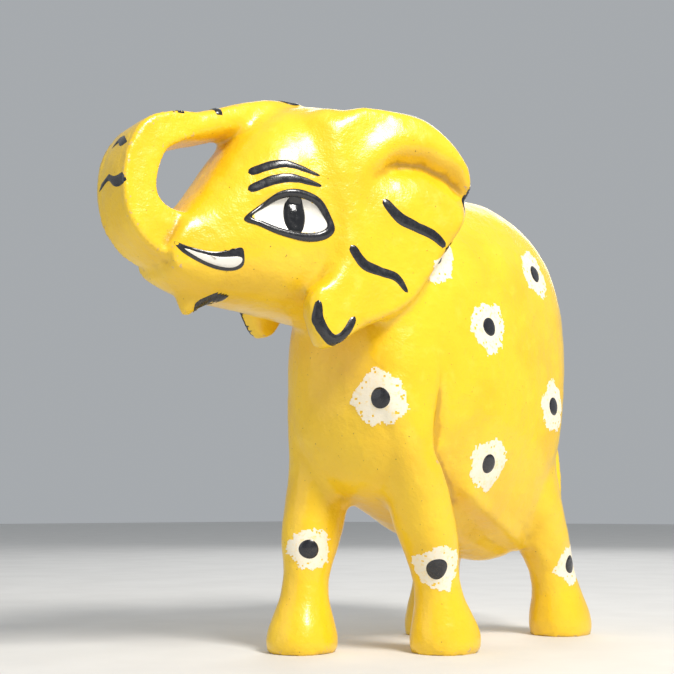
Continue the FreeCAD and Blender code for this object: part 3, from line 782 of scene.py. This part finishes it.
# %% One dot
def dot(name, plane, seed, lift=0.09 * MM, dome=0.34 * MM):
    clear_selection()
    bpy.ops.mesh.primitive_grid_add(x_subdivisions=20, y_subdivisions=20, size=2)
    piece = bpy.context.object
    piece.name = name
    grid = read_points(piece)
    square = np.maximum(np.abs(grid[:, 0]), np.abs(grid[:, 1]))
    around = np.arctan2(grid[:, 1], grid[:, 0])
    out_of_round = 1 + 0.03 * np.sin(2 * around + seed) + 0.02 * np.sin(3 * around + seed * 2)
    radius = square * out_of_round
    size = (plane["half"][0] + plane["half"][1]) / 2
    disc = np.column_stack([radius * np.cos(around), radius * np.sin(around), 0 * radius])
    write_points(piece, disc * size)
    weigh(piece, "dome", np.sqrt(np.clip(1 - square ** 2, 0, 1)))
    stand_at(piece, plane)
    let_down(piece, lift)
    apply_modifier(piece, "DISPLACE", strength=dome, mid_level=0.0, vertex_group="dome")
    thicken(piece, 0.30 * MM)
    return piece


# %% All the dabs and dots
def turn_like(plane, other):
    """Turns one film's frame parallel to another's, and leaves its middle."""
    for direction in ("normal", "side", "up"):
        plane[direction] = other[direction]


spots = sorted(name[4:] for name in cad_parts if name.startswith("dab_"))
for number, spot in enumerate(spots):
    print_plane = film_plane("dab_" + spot)
    paint(dab("sponge_" + spot, print_plane, number + 1.0), cream_sponge, "sponged_white", "dab_" + spot)
    dot_plane = film_plane("dot_" + spot)
    turn_like(dot_plane, print_plane)
    half = max(dot_plane["half"][:2])
    dot_plane["half"] = [half, half, dot_plane["half"][2]]
    paint(dot("drop_" + spot, dot_plane, number * 2.1), black_enamel, "black_enamel", "dot_" + spot)
print("dabs and dots:", len(spots) * 2)

# %% [markdown]
# ## Brush lines on the ears and over the eyes
# Each line was drawn in one pull: it starts full, thins out, and wobbles slightly. The spines are given
# as shares of the film that the frame holds for the line, so the strokes follow it.

# %% Ear strokes and brows
EAR_LINES = {
    "ear_stroke_upper": ([(-0.97, 0.86), (-0.50, 0.12), (0.10, -0.22), (0.55, -0.45), (0.97, -0.90)],
                         [2.5, 3.1, 2.7, 2.7, 2.2]),
    "ear_stroke_lower": ([(-0.97, 0.88), (-0.52, 0.14), (0.10, -0.12), (0.60, -0.30), (0.97, -0.92)],
                         [2.5, 2.9, 2.5, 2.3, 1.3]),
    "ear_lobe_stroke": ([(-0.90, 0.95), (-0.82, -0.10), (-0.25, -0.86), (0.35, -0.70), (0.95, 0.30)],
                        [1.8, 2.5, 2.8, 2.5, 1.9]),
}
LOBE_SHIFT = (1.1 * MM, 1.7 * MM)      # forwards and down, onto the very edge of the lobe
for side_name, side in SIDES.items():
    for line_name, (spine, widths) in EAR_LINES.items():
        node = line_name + "_" + side_name
        plane = film_plane(node)
        if line_name == "ear_lobe_stroke":
            shift = plane["side"] * side * LOBE_SHIFT[0] + plane["up"] * LOBE_SHIFT[1]
            plane["middle"] = plane["middle"] - shift
        piece = stroke("brush_" + node, plane, mirrored(spine, side), np.array(widths) * MM, wobble=0.10)
        thicken(piece)
        paint(piece, black_enamel, "black_enamel", node)

# %% [markdown]
# ## Eyes
# The black outline is a thick line of enamel round the almond, the white lies in the hollow, and the
# pupil is a raised, very glossy oval that reaches from lid to lid.

# %% The almond
ALMOND = [(-1.00, -0.36), (-0.62, 0.30), (-0.24, 0.83), (0.21, 0.99), (0.66, 0.73), (0.91, 0.11),
          (1.00, -0.46), (0.78, -0.84), (0.34, -1.00), (-0.24, -0.86), (-0.68, -0.60)]


def smooth_outline(shares, count, side, plane, grow=0.0):
    """Points round a closed outline given in shares of a film's half sizes, grown by a distance."""
    outline = np.array(mirrored(shares, side)) * (plane["half"][0] + grow, plane["half"][1] + grow)
    closed = np.concatenate([outline[-1:], outline, outline[:2]])
    at = np.arange(count) / count * len(outline)
    index = at.astype(int)
    t = (at - index)[:, None]
    return catmull_rom(*(closed[index + i] for i in range(4)), t)


def circle(radius, count):
    angles = np.arange(count) / count * 2 * math.pi
    return np.column_stack([np.cos(angles), np.sin(angles)]) * radius


def turn_over(piece):
    """Turns every face of a mesh to its other side."""
    pick(piece)
    bpy.ops.object.mode_set(mode="EDIT")
    bpy.ops.mesh.select_all(action="SELECT")
    bpy.ops.mesh.flip_normals()
    bpy.ops.object.mode_set(mode="OBJECT")


def ring_piece(name, edges, heights, plane, lift):
    """A closed band from nested outlines, each lifted by its own height above the wood."""
    clear_selection()
    count = len(edges[0])
    bpy.ops.mesh.primitive_grid_add(x_subdivisions=count, y_subdivisions=len(edges) - 1, size=2)
    piece = bpy.context.object
    piece.name = name
    grid = read_points(piece)
    step = np.round((grid[:, 0] + 1) / 2 * count).astype(int) % count
    row = np.round((grid[:, 1] + 1) / 2 * (len(edges) - 1)).astype(int)
    stacked = np.array(edges)
    flat = stacked[row, step]
    write_points(piece, np.column_stack([flat, np.zeros(len(flat))]))
    pick(piece)
    bpy.ops.object.mode_set(mode="EDIT")
    bpy.ops.mesh.select_all(action="SELECT")
    bpy.ops.mesh.remove_doubles(threshold=0.0005 * MM)
    bpy.ops.mesh.normals_make_consistent(inside=False)
    bpy.ops.object.mode_set(mode="OBJECT")
    settled = read_points(piece)
    tallest = max(heights)
    weights = np.zeros(len(settled))
    for edge, height in zip(edges, heights):
        distance = np.linalg.norm(settled[:, None, :2] - np.array(edge)[None], axis=2).min(1)
        weights[distance < 0.001 * MM] = height / tallest
    weigh(piece, "crown", weights)
    if piece.data.polygons[0].normal.z < 0:
        turn_over(piece)
    stand_at(piece, plane)
    let_down(piece, lift)
    apply_modifier(piece, "DISPLACE", strength=tallest, mid_level=0.0, vertex_group="crown")
    return piece


def patch(name, edge, centre, plane, lift, rings=6, bulge=0.0):
    """A filled patch: rings drawn in from its edge to a centre."""
    shares = [1 - i / rings for i in range(rings + 1)]
    shares[-1] = 0.02
    edges = [np.array(centre) + (np.array(edge) - centre) * share for share in shares]
    heights = [bulge * math.sqrt(1 - share ** 2) + 1e-7 for share in shares]
    piece = ring_piece(name, edges, heights, plane, lift)
    close_middle(piece)
    return piece


def close_middle(piece):
    """Merges the tiny innermost ring into one point."""
    pick(piece)
    bpy.ops.object.mode_set(mode="EDIT")
    bpy.ops.mesh.select_mode(type="VERT")
    bpy.ops.mesh.select_all(action="SELECT")
    bpy.ops.mesh.remove_doubles(threshold=0.0001 * MM)
    bpy.ops.mesh.select_non_manifold(extend=False, use_wire=False, use_boundary=True, use_multi_face=False,
                                     use_non_contiguous=False, use_verts=False)
    bpy.ops.object.mode_set(mode="OBJECT")
    edge_points = read_points(piece)
    chosen = np.zeros(len(edge_points), bool)
    piece.data.vertices.foreach_get("select", chosen)
    middle = edge_points[chosen].mean(0)
    near = np.linalg.norm(edge_points - middle, axis=1) < 0.45 * MM
    if (chosen & near).sum() > 2:
        choose_points(piece, chosen & near)
        bpy.ops.mesh.merge(type="CENTER")
        bpy.ops.object.mode_set(mode="OBJECT")


# %% Both eyes
EYE_LINE = 2.1 * MM
PUPIL_BACK = 0.8 * MM
PUPIL_SHAPE = (0.95, 1.12)      # narrower and taller than the film it stands for
for side_name, side in SIDES.items():
    whole = film_plane("eye_outline_" + side_name)
    count = 72
    bands = [0.0, 0.12, 0.4, 0.7, 0.92, 1.0]
    edges = [smooth_outline(ALMOND, count, side, whole, -EYE_LINE * band) for band in bands]
    heights = [height * MM for height in (0.02, 0.24, 0.42, 0.42, 0.26, 0.02)]
    outline = ring_piece("eye_line_" + side_name, edges, heights, whole, 0.05 * MM)
    thicken(outline, 0.4 * MM)
    paint(outline, black_enamel, "black_enamel", "eye_outline_" + side_name)
    white_edge = smooth_outline(ALMOND, count, side, whole, -EYE_LINE * 0.75)
    white = patch("eye_ball_" + side_name, white_edge, (0.0, 0.0), whole, 0.05 * MM)
    thicken(white)
    paint(white, white_enamel, "white_enamel", "eye_white_" + side_name)
    pupil_plane = film_plane("pupil_" + side_name)
    turn_like(pupil_plane, whole)
    pupil_plane["middle"] = pupil_plane["middle"] + whole["side"] * side * PUPIL_BACK
    oval = circle(1.0, count) * pupil_plane["half"][:2] * PUPIL_SHAPE
    pupil = patch("eye_bead_" + side_name, oval, (0.0, 0.0), pupil_plane, 0.08 * MM, rings=8,
                  bulge=0.9 * MM)
    thicken(pupil, 0.4 * MM)
    paint(pupil, pupil_gloss, "black_enamel", "pupil_" + side_name)

# %% [markdown]
# ## Brows and tusks
# Two arched lines stand over each eye, pressed hard in front and lifted off behind. A tusk is a black
# patch with a white one laid inside it, so a black border is left, thin below and thicker at the tip.

# %% Both brows
BROWS = [([(-0.94, 0.20), (-0.30, 0.76), (0.15, 0.86), (0.93, 0.44)], [2.3, 2.4, 1.9, 0.8]),
         ([(-0.96, -0.86), (-0.28, -0.14), (0.26, 0.06), (0.98, -0.16)], [2.3, 2.6, 2.2, 1.0])]


def join_pieces(name, pieces):
    """Makes one object of several strokes that belong to one node."""
    pick(pieces[0])
    for piece in pieces[1:]:
        piece.select_set(True)
    bpy.ops.object.join()
    pieces[0].name = name
    return pieces[0]


for side_name, side in SIDES.items():
    plane = film_plane("brows_" + side_name)
    pulls = [stroke("brow", plane, mirrored(spine, side), np.array(widths) * MM, wobble=0.12)
             for spine, widths in BROWS]
    for pull in pulls:
        thicken(pull)
    paint(join_pieces("brow_lines_" + side_name, pulls), black_enamel, "black_enamel", "brows_" + side_name)

# %% Both tusks
TUSK_EDGE = [(-1.00, 0.90), (-0.58, 0.62), (0.06, 0.38), (0.55, 0.62), (0.90, 0.94), (1.00, 0.42),
             (0.99, -0.54), (0.69, -1.00), (0.20, -0.96), (-0.37, -0.44), (-0.82, 0.23)]
TUSK_WHITE = [(-0.72, 0.42), (-0.30, 0.21), (0.27, 0.02), (0.88, 0.17), (0.92, -0.30), (0.69, -0.72),
              (0.27, -0.70), (-0.23, -0.30)]
for side_name, side in SIDES.items():
    plane = film_plane("tusk_outline_" + side_name)
    border = patch("tusk_border_" + side_name, smooth_outline(TUSK_EDGE, 64, side, plane),
                   (0.1 * side * MM, 0.0), plane, 0.05 * MM, bulge=0.16 * MM)
    thicken(border)
    paint(border, black_enamel, "black_enamel", "tusk_outline_" + side_name)
    ivory = patch("tusk_fill_" + side_name, smooth_outline(TUSK_WHITE, 48, side, plane),
                  (0.25 * side * plane["half"][0], -0.2 * plane["half"][1]), plane, 0.20 * MM,
                  bulge=0.22 * MM)
    thicken(ivory)
    paint(ivory, white_enamel, "white_enamel", "tusk_white_" + side_name)

# %% [markdown]
# ## Lines that go round a form
# The bands on the trunk, the ring at the nostril and the line on an ear's rim run round corners, so they
# can't be let down from one side. A strip is laid round its place instead, and each of its
# points is put on the wood where a line from inside the form comes out.

# %% Finding the wood from inside
skin_tree = BVHTree.FromPolygons([v.co for v in skin.data.vertices],
                                 [list(p.vertices) for p in skin.data.polygons])


def surface_from(inside, towards):
    """Where a line from a point inside the wood comes out, and the outward direction there."""
    hit, normal, _, _ = skin_tree.ray_cast(Vector(inside), Vector(towards))
    if hit is None:
        hit, normal, _, _ = skin_tree.find_nearest(Vector(inside))
    return np.array(hit), np.array(normal)


def wrapped_strip(name, rows, coat=0.30 * MM, crown=0.22 * MM):
    """A film from rows of points and normals across its width, sunk at its rim and crowned between."""
    columns, across = len(rows), len(rows[0])
    clear_selection()
    bpy.ops.mesh.primitive_grid_add(x_subdivisions=columns - 1, y_subdivisions=across - 1, size=2)
    piece = bpy.context.object
    piece.name = name
    grid = read_points(piece)
    column = np.round((grid[:, 0] + 1) / 2 * (columns - 1)).astype(int)
    row = np.round((grid[:, 1] + 1) / 2 * (across - 1)).astype(int)
    places = np.array([[point for point, _ in line] for line in rows])[column, row]
    normals = np.array([[normal for _, normal in line] for line in rows])[column, row]
    over_width, over_length = 1 - grid[:, 1] ** 2, 1 - grid[:, 0] ** 8
    height = crown * np.sqrt(np.clip(over_width, 0, 1)) * np.sqrt(np.clip(over_length, 0, 1))
    write_points(piece, places + normals * (height + 0.03 * MM)[:, None])
    pick(piece)
    bpy.ops.object.mode_set(mode="EDIT")
    bpy.ops.mesh.select_all(action="SELECT")
    bpy.ops.mesh.remove_doubles(threshold=0.001 * MM)
    bpy.ops.object.mode_set(mode="OBJECT")
    facing = np.empty(len(piece.data.polygons) * 3)
    piece.data.polygons.foreach_get("normal", facing)
    if (facing.reshape(-1, 3).sum(0) @ normals.mean(0)) < 0:
        turn_over(piece)
    thicken(piece, coat)
    return piece


# %% Bands round the trunk
def loose_parts(node):
    """The point clouds of a node's separate solids, in no set order."""
    copy = bpy.data.objects.new("parting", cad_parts[node].data.copy())
    bpy.context.scene.collection.objects.link(copy)
    pick(copy)
    bpy.ops.object.mode_set(mode="EDIT")
    bpy.ops.mesh.select_all(action="SELECT")
    bpy.ops.mesh.remove_doubles(threshold=0.01 * MM)
    bpy.ops.mesh.separate(type="LOOSE")
    bpy.ops.object.mode_set(mode="OBJECT")
    pieces = list(bpy.context.selected_objects)
    clouds = [read_points(piece) for piece in pieces]
    for piece in pieces:
        bpy.data.objects.remove(piece)
    return clouds


# each band's first and last angle, from the elephant's left side (0) over the outer face (90) to its right,
# its width, its wave and how far it is slid along the trunk, in millimetres
BAND_RANGES = [(30, 140, 2.5, 0.8, -0.4), (30, 140, 2.5, 0.3, -2.6), (6, 86, 2.1, 0.2, -1.2),
               (20, 86, 2.1, 0.2, -2.2)]


def band_rows(cloud, first, last, width, wave, slid, columns=36, across=6):
    middle = (cloud.min(0) + cloud.max(0)) / 2
    outward = middle - loop_middle
    outward -= head_across * (outward @ head_across)
    outward /= np.linalg.norm(outward)
    on_plane = middle - head_across * ((middle - head_middle) @ head_across)
    surface = np.array(skin_tree.find_nearest(Vector(on_plane + outward * 2 * MM))[0])
    inside = surface - outward * 4.5 * MM
    heading = np.cross(head_across, outward)
    rows = []
    for column in range(columns):
        share = column / (columns - 1)
        angle = math.radians(first + (last - first) * share)
        half = width / 2 * MM * (0.55 + 0.45 * math.sin(math.pi * min(1.0, share * 1.6 + 0.2)))
        slide = (slid + wave * math.sin(share * 2 * math.pi + 0.6)) * MM
        towards = head_across * math.cos(angle) + outward * math.sin(angle)
        offsets = slide + half * np.linspace(-1, 1, across)
        rows.append([surface_from(inside + heading * offset, towards) for offset in offsets])
    return rows


band_clouds = loose_parts("trunk_bands")
loop_middle = (box_middle("trunk_bands") * 2 + box_middle("nostril_ring")) / 3
loop_middle = loop_middle - head_across * ((loop_middle - head_middle) @ head_across)
band_clouds.sort(key=lambda cloud: cloud.mean(0) @ head_back)
bands = []
for number, (cloud, shape) in enumerate(zip(band_clouds, BAND_RANGES)):
    bands.append(wrapped_strip("band_%d" % number, band_rows(cloud, *shape)))
print("trunk bands:", len(bands))
paint(join_pieces("trunk_lines", bands), black_enamel, "black_enamel", "trunk_bands")

# %% Line on each ear's rim
RIM_TURNS = (-20, 58)       # how far the line wraps behind the edge and on to the face, in degrees


def rim_rows(ear, first, last, columns=70, across=7):
    """Rows over the edge of an ear, from its top round to its back; angles turn from backwards up."""
    middle = ear_place(ear, 0.5, 0.58, -3.6 * MM)
    rows = []
    for column in range(columns):
        share = column / (columns - 1)
        angle = math.radians(first + (last - first) * share)
        towards = ear["back"] * math.cos(angle) + UP * math.sin(angle)
        edge, _ = surface_from(middle, towards)
        inside = edge - towards * 2.4 * MM
        fullness = min(1.0, 0.25 + 4 * share, 0.25 + 4 * (1 - share))
        centre, half = sum(RIM_TURNS) / 2, (RIM_TURNS[1] - RIM_TURNS[0]) / 2 * fullness
        turns = np.radians(np.linspace(centre - half, centre + half, across))
        rows.append([surface_from(inside, towards * math.cos(turn) + ear["normal"] * math.sin(turn))
                     for turn in turns])
    return rows


for side_name, ear in ears.items():
    rim = wrapped_strip("rim_line_" + side_name, rim_rows(ear, 98, -8), 0.3 * MM)
    paint(rim, black_enamel, "black_enamel", "ear_rim_line_" + side_name)

# %% Ring round the nostril
nostril_points = read_points(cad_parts["nostril_ring"])
tip_outward = head_across * 0.80 + UP * 0.60 + head_back * 0.10
nostril_plane = flat_frame(nostril_points, tip_outward / np.linalg.norm(tip_outward))
nostril_plane["middle"] = nostril_plane["middle"] + head_across * 1.6 * MM
NOSTRIL_RADIUS = 3.9 * MM
ring_edges = [circle(NOSTRIL_RADIUS * share, 40) for share in (1.0, 0.93, 0.82, 0.72, 0.66)]
heights = [height * MM for height in (0.02, 0.25, 0.32, 0.25, 0.02)]
nostril = ring_piece("nostril_line", ring_edges, heights, nostril_plane, 0.05 * MM)
thicken(nostril, 0.4 * MM)
paint(nostril, black_enamel, "black_enamel", "nostril_ring")

# %% Stroke under the jaw, one pull on each side
JAW_LINE = [(-0.75, -0.80), (-0.35, -0.55), (0.30, 0.05), (0.95, 0.85)]
JAW_WIDTHS = np.array([2.4, 3.6, 3.6, 2.6]) * MM
JAW_RAISE = 1.3 * MM
jaw_points = read_points(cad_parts["jaw_stroke"])
pulls = []
for side in SIDES.values():
    plane = flat_frame(jaw_points, head_across * side)
    plane["middle"] = plane["middle"] + UP * JAW_RAISE
    pulls.append(stroke("jaw_pull", plane, mirrored(JAW_LINE, side), JAW_WIDTHS))
for pull in pulls:
    thicken(pull)
paint(join_pieces("jaw_line", pulls), black_enamel, "black_enamel", "jaw_stroke")

# %% [markdown]
# ## Floor, light and camera
# A pale sweep, one large soft lamp high on the right and a weak fill on the left: plain studio light that
# still shows the carving. The camera stands low and close, where the figure looks over the viewer.

# %% Floor
clear_selection()
bpy.ops.mesh.primitive_plane_add(size=6.0)
floor = bpy.context.object
floor.name = "studio_floor"
floor_material, floor_shader, floor_place = new_material("pale_floor")
tint = between(floor_material, noise_of(floor_material, floor_place, 30, 4), 0.3, 0.7)
join(floor_material, blend_colours(floor_material, tint, (0.70, 0.69, 0.67), (0.74, 0.73, 0.71)),
     floor_shader.inputs["Base Color"])
floor_shader.inputs["Roughness"].default_value = 0.8
floor.data.materials.append(floor_material)

# %% Lamps
def lamp(name, place, power, size, colour=(1.0, 1.0, 1.0), target=(0.0, 0.0, 0.08)):
    light = bpy.data.lights.new(name, "AREA")
    light.energy = power
    light.size = size
    light.color = colour
    holder = bpy.data.objects.new(name, light)
    bpy.context.scene.collection.objects.link(holder)
    holder.location = place
    holder.rotation_euler = (Vector(target) - Vector(place)).to_track_quat("-Z", "Y").to_euler()
    return holder


lamp("key_lamp", (0.55, -0.12, 0.62), 7.0, 0.22, (1.0, 0.97, 0.92))
lamp("fill_lamp", (-0.35, -0.75, 0.35), 1.1, 0.7, (0.93, 0.96, 1.0))
lamp("back_lamp", (-0.35, 0.60, 0.50), 1.5, 0.5)
world = bpy.context.scene.world or bpy.data.worlds.new("studio")
bpy.context.scene.world = world
world.use_nodes = True
world.node_tree.nodes["Background"].inputs["Color"].default_value = (0.80, 0.84, 0.88, 1.0)
world.node_tree.nodes["Background"].inputs["Strength"].default_value = 0.48
bpy.context.scene.view_settings.view_transform = "Standard"

# %% Camera
CAMERA_PLACE = (0.1982, -0.2395, 0.0376)
CAMERA_TURN = 42.0
CAMERA_TILT = 99.04
camera_data = bpy.data.cameras.new("camera")
camera_data.sensor_width = 36.0
camera_data.lens = 58.75
camera_data.clip_start = 0.01
camera = bpy.data.objects.new("camera", camera_data)
bpy.context.scene.collection.objects.link(camera)
camera.location = CAMERA_PLACE
camera.rotation_euler = (math.radians(CAMERA_TILT), 0.0, math.radians(CAMERA_TURN))
bpy.context.scene.camera = camera
